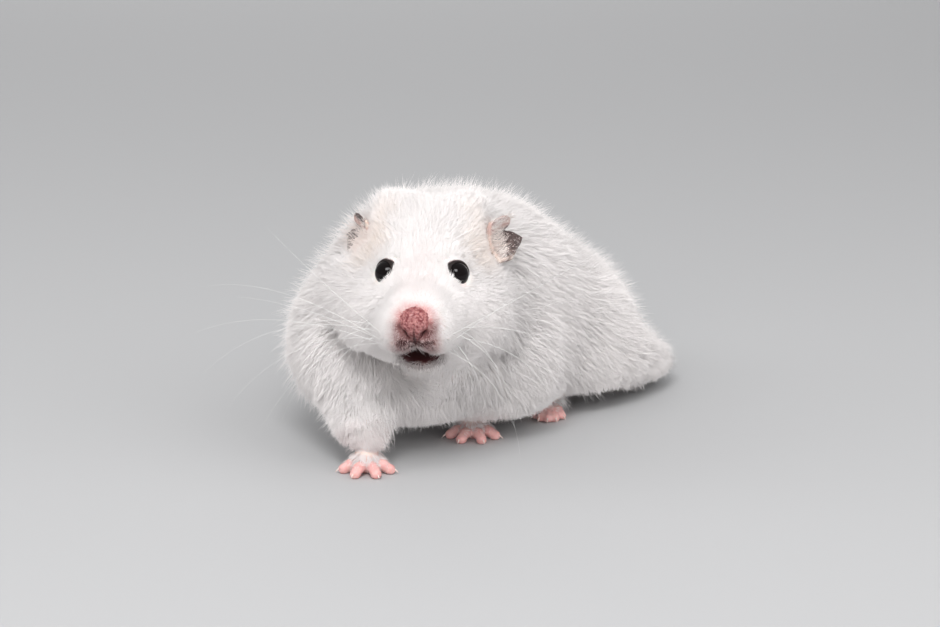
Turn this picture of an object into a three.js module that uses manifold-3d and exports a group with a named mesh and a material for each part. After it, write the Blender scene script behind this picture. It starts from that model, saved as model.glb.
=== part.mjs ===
// A Syrian hamster with a long white coat, life size and still: its right forepaw is a step ahead, its rump
// is low and its head is turned a little to its left. Millimetres, +Z up. It faces -Y and its left is +X.
// The floor is z = 0. The origin is on the floor, under the middle of the whole model's box.
// The solids of the furry parts reach out to the tips of the coat.
import * as THREE from "three";
import { mergeVertices } from "three/addons/utils/BufferGeometryUtils.js";
import Module from "manifold-3d";

const wasm = await Module();
wasm.setup();

// ---- Driving dimensions ---------------------------------------------------------------------------------

const EYE_HEIGHT = 47; // middle of the eyes above the floor
const HEAD_YAW = 15; // degrees that the head is turned to the animal's left
const EYE_SPACING = 15.4; // between the centres of the eyeballs
const EYE_RADIUS = 3;
const GAP = 0.3; // clearance between neighbouring solids
const BODY_FACET = 7.6; // sizes of the facets on the trunk, the legs and the head
const LEG_FACET = 5.4;
const HEAD_FACET = 3.25;

const radians = THREE.MathUtils.degToRad;
const at = (x, y, z) => new THREE.Vector3(x, y, z);
const turn = (x, y, z) => new THREE.Euler(radians(x), radians(y), radians(z), "ZYX");
const place = (position, rotation = turn(0, 0, 0)) =>
  new THREE.Matrix4().compose(position, new THREE.Quaternion().setFromEuler(rotation), at(1, 1, 1));
const SIDES = { left: 1, right: -1 };

// The head's frame: its origin is midway between the eyes, it faces -y and its left is +x.
const headFrame = place(at(0.4, 0.1, EYE_HEIGHT), turn(0, 0, HEAD_YAW));
const inHead = (x, y, z) => at(x, y, z).applyMatrix4(headFrame);

// ---- Solids ---------------------------------------------------------------------------------------------

function toSolid(geometry, matrix = new THREE.Matrix4()) {
  const bare = (geometry.index ? geometry.toNonIndexed() : geometry.clone()).applyMatrix4(matrix);
  bare.deleteAttribute("normal");
  bare.deleteAttribute("uv");
  const merged = mergeVertices(bare, 1e-4);
  return new wasm.Manifold(
    new wasm.Mesh({
      numProp: 3,
      vertProperties: merged.attributes.position.array,
      triVerts: new Uint32Array(merged.index.array),
    }),
  );
}

function toGeometry(solid) {
  const mesh = solid.getMesh();
  const geometry = new THREE.BufferGeometry();
  geometry.setAttribute("position", new THREE.BufferAttribute(new Float32Array(mesh.vertProperties), 3));
  geometry.setIndex(new THREE.BufferAttribute(new Uint32Array(mesh.triVerts), 1));
  geometry.computeVertexNormals();
  return geometry;
}

const union = (solids) => solids.reduce((joined, next) => joined.add(next));
const largestOf = (solid) => solid.decompose().sort((a, b) => b.volume() - a.volume())[0];

function ellipsoid(centre, radii, rotation = turn(0, 0, 0), rows = 6) {
  return toSolid(new THREE.SphereGeometry(1, rows * 2, rows).scale(...radii), place(centre, rotation));
}

// A round bar with ball ends, from a point to another, its radius changing evenly between them.
function taperedBar(start, end, startRadius, endRadius, sides = 8, capRings = 2) {
  const length = start.distanceTo(end);
  const outline = [];
  for (let i = 0; i <= capRings; i++) {
    const angle = (Math.PI / 2) * (i / capRings);
    outline.push(new THREE.Vector2(startRadius * Math.sin(angle), -startRadius * Math.cos(angle)));
  }
  for (let i = 0; i <= capRings; i++) {
    const angle = (Math.PI / 2) * (i / capRings);
    outline.push(new THREE.Vector2(endRadius * Math.cos(angle), length + endRadius * Math.sin(angle)));
  }
  outline[0].x = 0;
  outline[outline.length - 1].x = 0;
  const aim = new THREE.Quaternion().setFromUnitVectors(at(0, 1, 0), end.clone().sub(start).normalize());
  return toSolid(
    new THREE.LatheGeometry(outline, sides),
    new THREE.Matrix4().compose(start, aim, at(1, 1, 1)),
  );
}

// Everything on the side of a plane that `normal` points to.
function halfSpace(point, normal, reach = 240) {
  const aim = new THREE.Quaternion().setFromUnitVectors(at(0, 0, 1), normal.clone().normalize());
  const box = new THREE.BoxGeometry(reach, reach, reach).translate(0, 0, reach / 2);
  return toSolid(box, new THREE.Matrix4().compose(point, aim, at(1, 1, 1)));
}
const aboveFloor = halfSpace(at(0, 0, 0), at(0, 0, 1));

// ---- The body as a field: soft masses and limbs that melt into each other -------------------------------

// An ellipsoid turned about +Z. `soft` is how far from it the masses before it start to melt into it.
function mass(x, y, z, radii, yaw = 0, soft = 9) {
  const [cos, sin] = [Math.cos(radians(yaw)), Math.sin(radians(yaw))];
  const [rx, ry, rz] = radii;
  const distance = (px, py, pz) => {
    const [dx, dy, dz] = [px - x, py - y, pz - z];
    const [lx, ly] = [dx * cos + dy * sin, dy * cos - dx * sin];
    const scaled = Math.hypot(lx / rx, ly / ry, dz / rz);
    const slope = Math.hypot(lx / rx ** 2, ly / ry ** 2, dz / rz ** 2);
    return slope < 1e-9 ? -Math.min(rx, ry, rz) : (scaled * (scaled - 1)) / slope;
  };
  const solid = (grow) => ellipsoid(at(x, y, z), radii.map((r) => r + grow), turn(0, 0, yaw), 5);
  return { distance, soft, solid };
}

// A limb from one joint to the next.
function limb(start, end, startRadius, endRadius, soft = 6) {
  const axis = end.clone().sub(start);
  const distance = (px, py, pz) => {
    const [dx, dy, dz] = [px - start.x, py - start.y, pz - start.z];
    const share = THREE.MathUtils.clamp((dx * axis.x + dy * axis.y + dz * axis.z) / axis.lengthSq(), 0, 1);
    const away = Math.hypot(dx - share * axis.x, dy - share * axis.y, dz - share * axis.z);
    return away - THREE.MathUtils.lerp(startRadius, endRadius, share);
  };
  const solid = (grow) => taperedBar(start, end, startRadius + grow, endRadius + grow);
  return { distance, soft, solid };
}

function headMass(x, y, z, radii, soft = 5) {
  const centre = inHead(x, y, z);
  return mass(centre.x, centre.y, centre.z, radii, HEAD_YAW, soft);
}

// The distance to all the masses, rounded off where two come close, negative inside.
function fieldOf(masses) {
  return (x, y, z) => {
    let nearest = masses[0].distance(x, y, z);
    for (const next of masses.slice(1)) {
      const distance = next.distance(x, y, z);
      const share = Math.max(next.soft - Math.abs(nearest - distance), 0) / next.soft;
      nearest = Math.min(nearest, distance) - (share * share * next.soft) / 4;
    }
    return nearest;
  };
}

// The closed surface where a field is zero, within a box: one vertex in each grid cell that it crosses, moved
// onto it, and one quad across each grid edge that it crosses.
function surfaceOf(field, low, high, step) {
  const size = low.map((value, axis) => Math.ceil((high[axis] - value) / step) + 3);
  const corner = (cell) => cell.map((count, axis) => low[axis] + (count - 1) * step);
  const boxed = (x, y, z) =>
    Math.max(field(x, y, z), low[0] - x, x - high[0], low[1] - y, y - high[1], low[2] - z, z - high[2]);
  const indexOf = ([i, j, k]) => (i * size[1] + j) * size[2] + k;
  const cells = [];
  for (let i = 0; i < size[0]; i++) {
    for (let j = 0; j < size[1]; j++) {
      for (let k = 0; k < size[2]; k++) {
        cells.push([i, j, k]);
      }
    }
  }
  const values = new Float64Array(cells.map((cell) => boxed(...corner(cell))));

  const ontoSurface = (start) => {
    const small = 0.05;
    let [x, y, z] = start;
    for (let round = 0; round < 2; round++) {
      const value = boxed(x, y, z);
      const slope = [boxed(x + small, y, z), boxed(x, y + small, z), boxed(x, y, z + small)].map(
        (nearby) => (nearby - value) / small,
      );
      const move = -value / Math.max(0.2, slope[0] ** 2 + slope[1] ** 2 + slope[2] ** 2);
      [x, y, z] = [x + move * slope[0], y + move * slope[1], z + move * slope[2]];
    }
    const moved = Math.hypot(x - start[0], y - start[1], z - start[2]);
    return moved < 0.6 * step ? [x, y, z] : start;
  };

  const positions = [];
  const vertexOfCell = new Map();
  const vertexIn = (cell) => {
    const key = indexOf(cell);
    if (!vertexOfCell.has(key)) {
      const sum = [0, 0, 0];
      let crossings = 0;
      for (let a = 0; a < 8; a++) {
        for (const bit of [1, 2, 4].filter((b) => !(a & b))) {
          const [from, to] = [a, a | bit].map((c) => cell.map((count, axis) => count + ((c >> axis) & 1)));
          const [here, there] = [values[indexOf(from)], values[indexOf(to)]];
          if (here < 0 === there < 0) continue;
          const [p, q, share] = [corner(from), corner(to), here / (here - there)];
          sum.forEach((_, axis) => (sum[axis] += p[axis] + share * (q[axis] - p[axis])));
          crossings++;
        }
      }
      vertexOfCell.set(key, positions.length / 3);
      positions.push(...ontoSurface(sum.map((value) => value / crossings)));
    }
    return vertexOfCell.get(key);
  };

  const triangles = [];
  const axes = [[1, 0, 0], [0, 1, 0], [0, 0, 1]];
  for (const cell of cells.filter((c) => c.every((count, axis) => count > 0 && count < size[axis] - 1)))
    axes.forEach((along, axis) => {
      const inside = values[indexOf(cell)] < 0;
      if (inside === values[indexOf(cell.map((count, a) => count + along[a]))] < 0) return;
      const [b, c] = [axes[(axis + 1) % 3], axes[(axis + 2) % 3]];
      const ring = [[0, 0], [1, 0], [1, 1], [0, 1]].map(([m, n]) =>
        vertexIn(cell.map((count, a) => count - m * b[a] - n * c[a])));
      if (!inside) ring.reverse();
      triangles.push(ring[0], ring[1], ring[2], ring[0], ring[2], ring[3]);
    });
  const geometry = new THREE.BufferGeometry();
  geometry.setAttribute("position", new THREE.Float32BufferAttribute(positions, 3));
  geometry.setIndex(triangles);
  return geometry;
}

// ---- Head masses, in the head's frame -------------------------------------------------------------------

const headMasses = [
  headMass(0, 15, 0, [15.6, 13, 14.6], 6), // crown
  limb(inHead(0, 8, -2.4), inHead(0, -10.8, -7.4), 11.8, 7.9, 6), // wedge of the face
  ...Object.values(SIDES).flatMap((side) => [
    headMass(9.8 * side, 17, 8, [6, 9, 7.6], 6), // fur round the root of the ear
    headMass(9.6 * side, 4, -12, [9.8, 12.4, 10.3], 7), // cheek
    headMass(4.4 * side, -12, -11, [5.8, 6.2, 5.3], 4), // whisker pad
  ]),
  headMass(0, -6, -18.9, [5.8, 7.8, 4.8], 5), // chin
];

// ---- Leg masses: a shoulder or haunch, and a limb down to the paw ---------------------------------------

// Each paw stands flat on the floor below its ankle. `yaw` is the way that its toes point.
const PAWS = {
  fore_right: { ankle: at(-11.6, -5.2, 4.4), yaw: 19 },
  fore_left: { ankle: at(1.8, 29.5, 4.2), yaw: 17 },
  hind_right: { ankle: at(-31.5, 77, 4.6), yaw: -6 },
  hind_left: { ankle: at(12.8, 55, 4.6), yaw: 14 },
};
const LEGS = {
  fore_right: [mass(-30, 20, 23, [13, 14, 17]), limb(at(-22, 8, 20), PAWS.fore_right.ankle, 11.2, 5.6)],
  fore_left: [mass(9, 33, 20, [12.5, 12.5, 15]), limb(at(1.5, 35, 19), PAWS.fore_left.ankle, 8.5, 3.7)],
  hind_right: [mass(-25.5, 78, 17, [12, 17, 14.5], 8), limb(at(-31, 82, 15), PAWS.hind_right.ankle, 9, 4.4)],
  hind_left: [mass(18, 68.5, 16.5, [12.5, 16, 15], -10), limb(at(15, 62, 15), PAWS.hind_left.ankle, 9, 4.4)],
};
const ANKLE_CUT = 4.9; // level where each leg ends and its paw begins

// ---- Trunk masses ---------------------------------------------------------------------------------------

const trunkMasses = [
  mass(-6, 12, 35, [22.3, 16, 21], 10, 10), // neck and ruff
  mass(-8.5, 17, 19, [17, 15, 14.5], 10, 8), // chest
  mass(-10.8, 30, 33, [26.6, 24, 28], 6), // thorax
  mass(-8.3, 53, 27.5, [30.4, 28.5, 29.3], -8), // belly
  mass(6, 42, 13, [13, 17, 10.5], 4, 8), // hanging hair of the left flank
  mass(-6, 68, 25, [21, 25, 21], -12), // loin
  mass(-2, 79, 18.5, [27.5, 27, 21.5], -16), // rump
  mass(16.5, 90, 7, [23, 17, 6.5], -35, 12), // skirt of long hair
  mass(17, 72, 8, [13, 17, 8], -10, 6), // hanging hair of the left thigh
];
const TAIL = { centre: at(8, 107, 11), radii: [4.5, 8, 4.5], yaw: -24, cutRadii: [7, 8, 8], cutBehind: 1 };
const tailMass = mass(...TAIL.centre.toArray(), TAIL.radii, TAIL.yaw, 4);

// ---- Ears -----------------------------------------------------------------------------------------------

// An ear laid back: a leaf that is cupped across its width and curls outward towards its tip.
const EAR = { length: 14.5, width: 11.5, thickness: 1.3, cup: 3, bend: -1, base: [14.3, 12, 4] };
function ear(side, grow) {
  const leaf = new THREE.SphereGeometry(1, 12, 6);
  const point = leaf.attributes.position;
  for (let i = 0; i < point.count; i++) {
    const [across, along, through] = [point.getX(i), point.getY(i), point.getZ(i)];
    const share = (along + 1) / 2;
    const flat = Math.sign(through) * Math.sqrt(Math.abs(through));
    const x = across * (EAR.width / 2 + grow) * (1 - 0.25 * share);
    const y = share * (EAR.length + 2 * grow) - grow;
    const z = flat * (EAR.thickness / 2 + grow) + EAR.cup * across * across * (1 - 0.4 * share)
      - EAR.bend * share * share;
    point.setXYZ(i, x, y, z);
  }
  const upAndBack = at(0.36 * side, 0.84, 0.12).normalize(); // from the ear's base to its tip
  const facing = at(0.8 * side, -0.5, 0.16).projectOnPlane(upAndBack).normalize(); // the side that hears
  const basis = new THREE.Matrix4().makeBasis(upAndBack.clone().cross(facing), upAndBack, facing);
  basis.setPosition(EAR.base[0] * side, EAR.base[1], EAR.base[2]);
  return toSolid(leaf, headFrame.clone().multiply(basis));
}

// ---- Cutting the body into its named parts --------------------------------------------------------------

const SKIRT_HEIGHT = 0.6; // the hair ends this far above the floor
const LEG_REACH = { aside: 34, ahead: 22, behind: 56, top: 48 }; // what a leg's box takes in round its ankle
const LEG_MARGIN = 3.2; // how far a leg's cut reaches outside its own masses
const PAW_ROOM = [6.6, 11, 5.4]; // radii of the hollow in the trunk's hair over a paw

const bodyField = fieldOf([...trunkMasses, ...headMasses, tailMass, ...Object.values(LEGS).flat()]);
const bodySolid = (low, high, facet) => toSolid(surfaceOf(bodyField, low, high, facet));
const body = bodySolid([-52, -30, SKIRT_HEIGHT], [46, 124, 70], BODY_FACET);

// The head ends at the nape, and the trunk begins at the withers. Each is a plane across the head, through a
// point below the throat and another above the neck.
const NAPE = { below: inHead(0, 0.5, -24), above: inHead(0, 22, 15) };
const WITHERS = { below: inHead(0, 1.5, -26), above: inHead(0, 32, 14) };
const across = at(1, 0, 0).transformDirection(headFrame);
const half = (point, normal, gap) => halfSpace(point.clone().addScaledVector(normal, gap), normal);
const before = ({ below, above }) =>
  half(below, across.clone().cross(above.clone().sub(below)).normalize(), GAP / 2);
const behind = ({ below, above }) =>
  half(below, across.clone().cross(below.clone().sub(above)).normalize(), GAP / 2);

const parts = {};
const furParts = (name, solid) => (parts[name] = largestOf(solid));

const legCut = (masses, gap) => union(masses.map((one) => one.solid(LEG_MARGIN + gap)));
const tailCut = (gap) => {
  const centre = TAIL.centre.clone().add(at(0, TAIL.cutBehind, 0));
  return ellipsoid(centre, TAIL.cutRadii.map((r) => r + gap), turn(0, 0, TAIL.yaw));
};
const pawRoom = ({ ankle, yaw }) => ellipsoid(ankle.clone().setZ(1), PAW_ROOM, turn(0, 0, yaw));
const aboveAnkles = halfSpace(at(0, 0, ANKLE_CUT + GAP / 2), at(0, 0, 1));
let trunk = body.intersect(behind(WITHERS)).subtract(tailCut(GAP));
let neck = body.intersect(behind(NAPE)).intersect(before(WITHERS));
for (const [name, masses] of Object.entries(LEGS)) {
  const { x, y } = PAWS[name].ankle;
  const low = [x - LEG_REACH.aside, y - LEG_REACH.ahead, SKIRT_HEIGHT];
  const high = [x + LEG_REACH.aside, y + LEG_REACH.behind, LEG_REACH.top];
  const legBody = bodySolid(low, high, LEG_FACET).intersect(behind(WITHERS)).intersect(aboveAnkles);
  furParts(`${name}_leg`, legBody.intersect(legCut(masses, 0)));
  trunk = trunk.subtract(legCut(masses, GAP)).subtract(pawRoom(PAWS[name]));
  neck = neck.subtract(legCut(masses, GAP));
}
for (const side of Object.values(SIDES)) {
  trunk = trunk.subtract(ear(side, GAP));
  neck = neck.subtract(ear(side, GAP));
}
furParts("trunk", trunk);
furParts("neck", neck);
const tailBody = bodySolid([-10, 92, SKIRT_HEIGHT], [26, 124, 30], LEG_FACET);
furParts("tail", tailBody.intersect(tailCut(0)));

// ---- Head: skull part, lower jaw, nose, eyes and ears ---------------------------------------------------

const NOSE = { centre: inHead(0, -17.6, -8), radii: [3.6, 2.7, 3.6] };
const nose = (grow) => ellipsoid(NOSE.centre, NOSE.radii.map((r) => r + grow), turn(-20, 0, HEAD_YAW));

const EYE_AHEAD = -3; // the eyeballs' centres in the head's frame
const eye = (side, grow) => {
  const centre = inHead((EYE_SPACING / 2) * side, EYE_AHEAD, 0);
  return ellipsoid(centre, [1, 1, 1].map(() => EYE_RADIUS + grow));
};
// The opening between the lids, an oval cut into the coat in front of the eyeball.
const EYE_OUTWARD = 50; // degrees from straight ahead
const LID_RADII = [2.7, 2.9, 2.8];
const lidOpening = (side) => {
  const outward = radians(EYE_OUTWARD) * side;
  const reach = EYE_RADIUS;
  const centre = inHead(
    (EYE_SPACING / 2) * side + reach * Math.sin(outward), EYE_AHEAD - reach * Math.cos(outward), 0);
  return ellipsoid(centre, LID_RADII, turn(0, 0, HEAD_YAW + EYE_OUTWARD * side));
};

let head = bodySolid([-27, -27, 17], [27, 30, 70], HEAD_FACET).intersect(before(NAPE));
head = head.subtract(nose(GAP));
for (const side of Object.values(SIDES)) {
  head = head.subtract(lidOpening(side)).subtract(eye(side, GAP)).subtract(ear(side, GAP));
}

// The mouth: the jaw is the chin below the lips, hinged at its corners and hanging a little open.
const MOUTH = { corner: [0, 4.5, -13.2], lipSlope: 3, jawSlope: 14 };
const CHIN = { centre: [0, -5.5, -20.5], radii: [5.6, 9.8, 8.6] }; // what of the head the jaw takes in
const chin = (gap) => ellipsoid(inHead(...CHIN.centre), CHIN.radii.map((r) => r + gap), turn(0, 0, HEAD_YAW));
const underPlane = (slope, gap) => {
  const down = at(0, Math.sin(radians(slope)), -Math.cos(radians(slope))).transformDirection(headFrame);
  return half(inHead(...MOUTH.corner), down, gap);
};
const jaw = head.intersect(chin(0)).intersect(underPlane(MOUTH.jawSlope, GAP));
head = head.subtract(chin(GAP).intersect(underPlane(MOUTH.lipSlope, 0)));
furParts("head", head);
furParts("lower_jaw", jaw);
parts.nose = nose(0);
for (const [name, side] of Object.entries(SIDES)) {
  parts[`eye_${name}`] = eye(side, 0);
  parts[`ear_${name}`] = ear(side, 0);
}

// ---- Paws and claws -------------------------------------------------------------------------------------

// Toes fan out from the front of the sole, in degrees to the side, with their lengths.
const FORE = { sole: [3.1, 3.9, 2.1], soleAt: -0.6, reach: 1.9, toe: 1.22, lengths: [3.6, 4.6, 4.6, 3.9],
  fan: [-70, -22, 22, 68] };
const HIND = { sole: [3.3, 7.6, 2.3], soleAt: 1.6, reach: 6.4, toe: 1.12, lengths: [2.9, 3.9, 4.3, 4, 3],
  fan: [-34, -15, 1, 17, 36] };
const CLAW = { length: 1.9, radius: 0.5, droop: 24 };

for (const [name, { ankle, yaw }] of Object.entries(PAWS)) {
  const shape = name.startsWith("fore") ? FORE : HIND;
  const frame = place(at(ankle.x, ankle.y, 0), turn(0, 0, yaw));
  const inPaw = (x, y, z) => at(x, y, z).applyMatrix4(frame);
  const pieces = [
    ellipsoid(inPaw(0, shape.soleAt, shape.sole[2] - 0.25), shape.sole, turn(0, 0, yaw), 5),
    taperedBar(inPaw(0, shape.soleAt, shape.sole[2]), inPaw(0, 0.4, ANKLE_CUT + 2), 2.7, 2.9, 6, 1),
  ];
  const claws = shape.fan.map((degrees, i) => {
    const [side, ahead] = [Math.sin(radians(degrees)), -Math.cos(radians(degrees))];
    const from = Math.min(shape.reach, shape.sole[0] * 0.75);
    const knuckle = inPaw(side * from, shape.soleAt + ahead * shape.reach * (degrees ? 0.9 : 1), 1.7);
    const tip = knuckle.clone().add(at(side, ahead, 0).applyAxisAngle(at(0, 0, 1), radians(yaw))
      .multiplyScalar(shape.lengths[i]));
    tip.z = shape.toe - 0.15;
    pieces.push(taperedBar(knuckle, tip, shape.toe * 1.08, shape.toe, 6, 1));
    const aim = tip.clone().sub(knuckle).setZ(0).normalize();
    aim.z = -Math.tan(radians(CLAW.droop));
    const root = tip.clone().addScaledVector(aim.normalize(), 0.55).add(at(0, 0, 0.3));
    return (grow) => {
      const cone = new THREE.ConeGeometry(CLAW.radius + grow, CLAW.length + 2 * grow, 5);
      const aimed = new THREE.Quaternion().setFromUnitVectors(at(0, 1, 0), aim);
      const centre = root.clone().addScaledVector(aim, CLAW.length / 2);
      return toSolid(cone, new THREE.Matrix4().compose(centre, aimed, at(1, 1, 1)));
    };
  });
  const belowAnkle = halfSpace(at(0, 0, ANKLE_CUT - GAP / 2), at(0, 0, -1));
  const paw = union(pieces).intersect(belowAnkle).intersect(aboveFloor);
  furParts(`${name}_paw`, claws.reduce((left, claw) => left.subtract(claw(GAP)), paw));
  claws.forEach((claw, i) => (parts[`${name}_claw_${i + 1}`] = claw(0).intersect(aboveFloor)));
}

// ---- The model ------------------------------------------------------------------------------------------

const finish = (color, roughness) => new THREE.MeshStandardMaterial({ color, roughness, metalness: 0 });
const coat = finish("#efe8e4", 0.8);
const MATERIALS = {
  eye: finish("#0b0a0b", 0.08), ear: finish("#7d6560", 0.6), nose: finish("#c97f80", 0.45),
  paw: finish("#dfa59f", 0.55), claw: finish("#d9c3b6", 0.4),
};
const materialOf = (name) => {
  const kind = name.split("_").find((word) => word in MATERIALS);
  return kind ? MATERIALS[kind] : coat;
};

const group = new THREE.Group();
for (const [name, solid] of Object.entries(parts)) {
  const mesh = new THREE.Mesh(toGeometry(solid), materialOf(name));
  mesh.name = name;
  group.add(mesh);
}
const box = new THREE.Box3().setFromObject(group);
const middle = box.getCenter(at(0, 0, 0));
group.position.set(-middle.x, -middle.y, -box.min.z);

export default group;
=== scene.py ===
"""A life-size Syrian hamster with a long white coat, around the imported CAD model.

Everything is worked out in millimetres and turned into metres as each mesh is made. The skin is the
surface of a field: the distance inside the CAD flesh, less the depth of the coat. The coat is solid
tufts that are rooted on the skin and reach the outline of the CAD.
"""
import itertools
import math

import bmesh
import bpy
import numpy as np
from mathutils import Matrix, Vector
from mathutils.bvhtree import BVHTree
from mathutils.kdtree import KDTree


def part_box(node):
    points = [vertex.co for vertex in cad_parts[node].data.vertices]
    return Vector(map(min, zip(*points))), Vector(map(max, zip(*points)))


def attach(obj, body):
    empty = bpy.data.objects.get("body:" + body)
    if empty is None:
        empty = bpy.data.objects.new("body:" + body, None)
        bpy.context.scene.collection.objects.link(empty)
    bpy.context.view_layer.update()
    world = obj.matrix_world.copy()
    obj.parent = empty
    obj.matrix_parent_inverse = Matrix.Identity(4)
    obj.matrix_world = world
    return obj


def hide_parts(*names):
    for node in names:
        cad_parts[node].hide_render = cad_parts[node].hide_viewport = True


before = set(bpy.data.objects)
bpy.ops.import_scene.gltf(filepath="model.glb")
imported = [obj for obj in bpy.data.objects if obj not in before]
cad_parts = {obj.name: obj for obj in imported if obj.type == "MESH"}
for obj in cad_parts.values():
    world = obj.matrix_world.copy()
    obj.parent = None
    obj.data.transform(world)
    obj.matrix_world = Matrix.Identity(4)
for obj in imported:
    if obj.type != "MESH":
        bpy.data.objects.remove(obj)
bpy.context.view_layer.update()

scene = bpy.context.scene
MM = 0.001
rng = np.random.default_rng(11)

# ---- Vectors and soft steps ----


def unit(v):
    """v, or each row of v, at length 1."""
    v = np.asarray(v, float)
    return v / np.maximum(np.linalg.norm(v, axis=-1, keepdims=True), 1e-9)


def dots(a, b):
    """Row by row dot products, as a column."""
    return np.sum(a * b, axis=-1, keepdims=True)


def ramp(x, low, high):
    """0 below low, 1 above high and smooth between them. low may be above high."""
    t = np.clip((np.asarray(x, float) - low) / (high - low), 0, 1)
    return t * t * (3 - 2 * t)


def blend(a, b, t):
    return a + (b - a) * t


def distance(points, place):
    """How far each point is from a place."""
    return np.linalg.norm(points - place, axis=-1)


def near_line(points, start, end):
    """How far points are from the line between two places, and how far along it they are, from 0 to 1."""
    share = np.clip((points - start) @ (end - start) / np.sum((end - start) ** 2), 0, 1)
    return np.linalg.norm(points - start - share[..., None] * (end - start), axis=-1), share


def flattened(v, normals):
    """v without its part along the normals, at length 1."""
    return unit(v - dots(v, normals) * normals)


def waves(points, size, seed):
    """A smooth random value for each point, mostly between -1 and 1, with waves about size millimetres long."""
    draw = np.random.default_rng(seed)
    ways = unit(draw.normal(size=(7, 3))) * (2 * math.pi / size) * draw.uniform(0.6, 1.5, (7, 1))
    return np.sin(points @ ways.T + draw.uniform(0, 2 * math.pi, 7)).sum(axis=1) / 2.6


def search_tree(places):
    """A tree that finds the places nearest to another, by their numbers."""
    tree = KDTree(len(places))
    for number, place in enumerate(places):
        tree.insert(Vector(place), number)
    tree.balance()
    return tree


# ---- Places, from the CAD ----


def corners(*names):
    """Lowest and highest corner of the CAD nodes together, in millimetres."""
    boxes = [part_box(name) for name in names]
    low = np.min([np.array(b[0]) for b in boxes], axis=0)
    high = np.max([np.array(b[1]) for b in boxes], axis=0)
    return low / MM, high / MM


def middle(*names):
    return np.mean(corners(*names), axis=0)


SIDES = {"left": 1, "right": -1}
UP = np.array([0.0, 0.0, 1.0])
eyes = {side: middle(f"eye_{side}") for side in SIDES}
eye_radius = (corners("eye_left")[1] - corners("eye_left")[0])[2] / 2

# The head's axes: its left, its back and up. Its frame starts midway between the ears' roots and the eyes.
LEFT = unit(eyes["left"] - eyes["right"])
BACK = np.cross(UP, LEFT)
head_origin = (eyes["left"] + eyes["right"]) / 2 + 3 * BACK
head_axes = np.array([LEFT, BACK, UP])


def in_head(points):
    """Points seen from the head's frame: how far to its left, back and up."""
    return (np.asarray(points) - head_origin) @ head_axes.T


def from_head(*local):
    return head_origin + np.array(local, float) @ head_axes


nose_middle = middle("nose")
nose_tip = nose_middle - 2.7 * BACK
tail_middle = middle("tail")

# ---- Camera ----


def bearing(azimuth, elevation):
    """The way to a place so many degrees round the head from straight ahead, and so many up."""
    azimuth, elevation = math.radians(azimuth), math.radians(elevation)
    level = math.cos(elevation)
    return np.array([math.sin(azimuth) * level, -math.cos(azimuth) * level, math.sin(elevation)])


def in_scene(name, data):
    made = bpy.data.objects.new(name, data)
    scene.collection.objects.link(made)
    return made


VIEW_AZIMUTH, VIEW_ELEVATION = 21, 13  # degrees, as in the photograph
VIEW_DISTANCE, VIEW_RIGHT, VIEW_DOWN = 640, 11.02, 9.77  # millimetres
LENS, CLIP_START = 107.8, 0.01  # millimetres and metres

toward_camera = bearing(VIEW_AZIMUTH, VIEW_ELEVATION)
view_right = unit(np.cross(UP, toward_camera))
view_up = np.cross(toward_camera, view_right)
view_centre = from_head(-0.41, 0, 0)

camera = in_scene("camera", bpy.data.cameras.new("camera"))
scene.camera = camera
eye_point = view_centre + VIEW_DISTANCE * toward_camera
look_at = view_centre + VIEW_RIGHT * view_right - VIEW_DOWN * view_up
camera.location = Vector(eye_point * MM)
camera.rotation_euler = Vector((look_at - eye_point) * MM).to_track_quat("-Z", "Y").to_euler()
camera.data.lens = LENS
camera.data.clip_start = CLIP_START

# ---- Meshes ----


def mesh_object(name, vertices, faces, materials, material_numbers=None, values=None, normals=None):
    """An object from vertices in millimetres, a list of face arrays and a dict of values at its vertices."""
    faces = [np.asarray(group, np.int32) for group in faces if len(group)]
    sizes = np.concatenate([np.full(len(group), group.shape[1], np.int32) for group in faces])
    mesh = bpy.data.meshes.new(name)
    mesh.vertices.add(len(vertices))
    mesh.vertices.foreach_set("co", (np.asarray(vertices) * MM).astype(np.float32).ravel())
    mesh.loops.add(int(sizes.sum()))
    mesh.loops.foreach_set("vertex_index", np.concatenate([group.ravel() for group in faces]))
    mesh.polygons.add(len(sizes))
    mesh.polygons.foreach_set("loop_start", np.append(0, np.cumsum(sizes)[:-1]).astype(np.int32))
    mesh.polygons.foreach_set("use_smooth", np.full(len(sizes), True))
    for material in materials:
        mesh.materials.append(material)
    if material_numbers is not None:
        mesh.polygons.foreach_set("material_index", np.asarray(material_numbers, np.int32))
    mesh.update(calc_edges=True)
    for value_name, value in (values or {}).items():
        layer = mesh.attributes.new(value_name, "FLOAT_COLOR", "POINT")
        padded = np.ones((len(vertices), 4), np.float32)
        padded[:, :value.shape[1]] = value
        layer.data.foreach_set("color", padded.ravel())
    if normals is not None:
        mesh.normals_split_custom_set_from_vertices(normals.astype(np.float32))
    return in_scene(name, mesh)


def keep(piece, slot, *replaced):
    """Rides a piece on the body, in place of the CAD nodes. The slot is not used."""
    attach(piece, "root")
    if replaced:
        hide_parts(*replaced)


def read_node(name):
    """Vertices in millimetres and triangles of a CAD node."""
    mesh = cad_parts[name].data
    vertices = np.empty(len(mesh.vertices) * 3, np.float32)
    mesh.vertices.foreach_get("co", vertices)
    mesh.calc_loop_triangles()
    triangles = np.empty(len(mesh.loop_triangles) * 3, np.int32)
    mesh.loop_triangles.foreach_get("vertices", triangles)
    return vertices.reshape(-1, 3) / MM, triangles.reshape(-1, 3)


def welded(vertices, faces):
    """The same mesh with vertices at one place made one."""
    _, first, same = np.unique(np.round(vertices, 3), axis=0, return_index=True, return_inverse=True)
    return vertices[first], same.reshape(-1)[faces]


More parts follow.
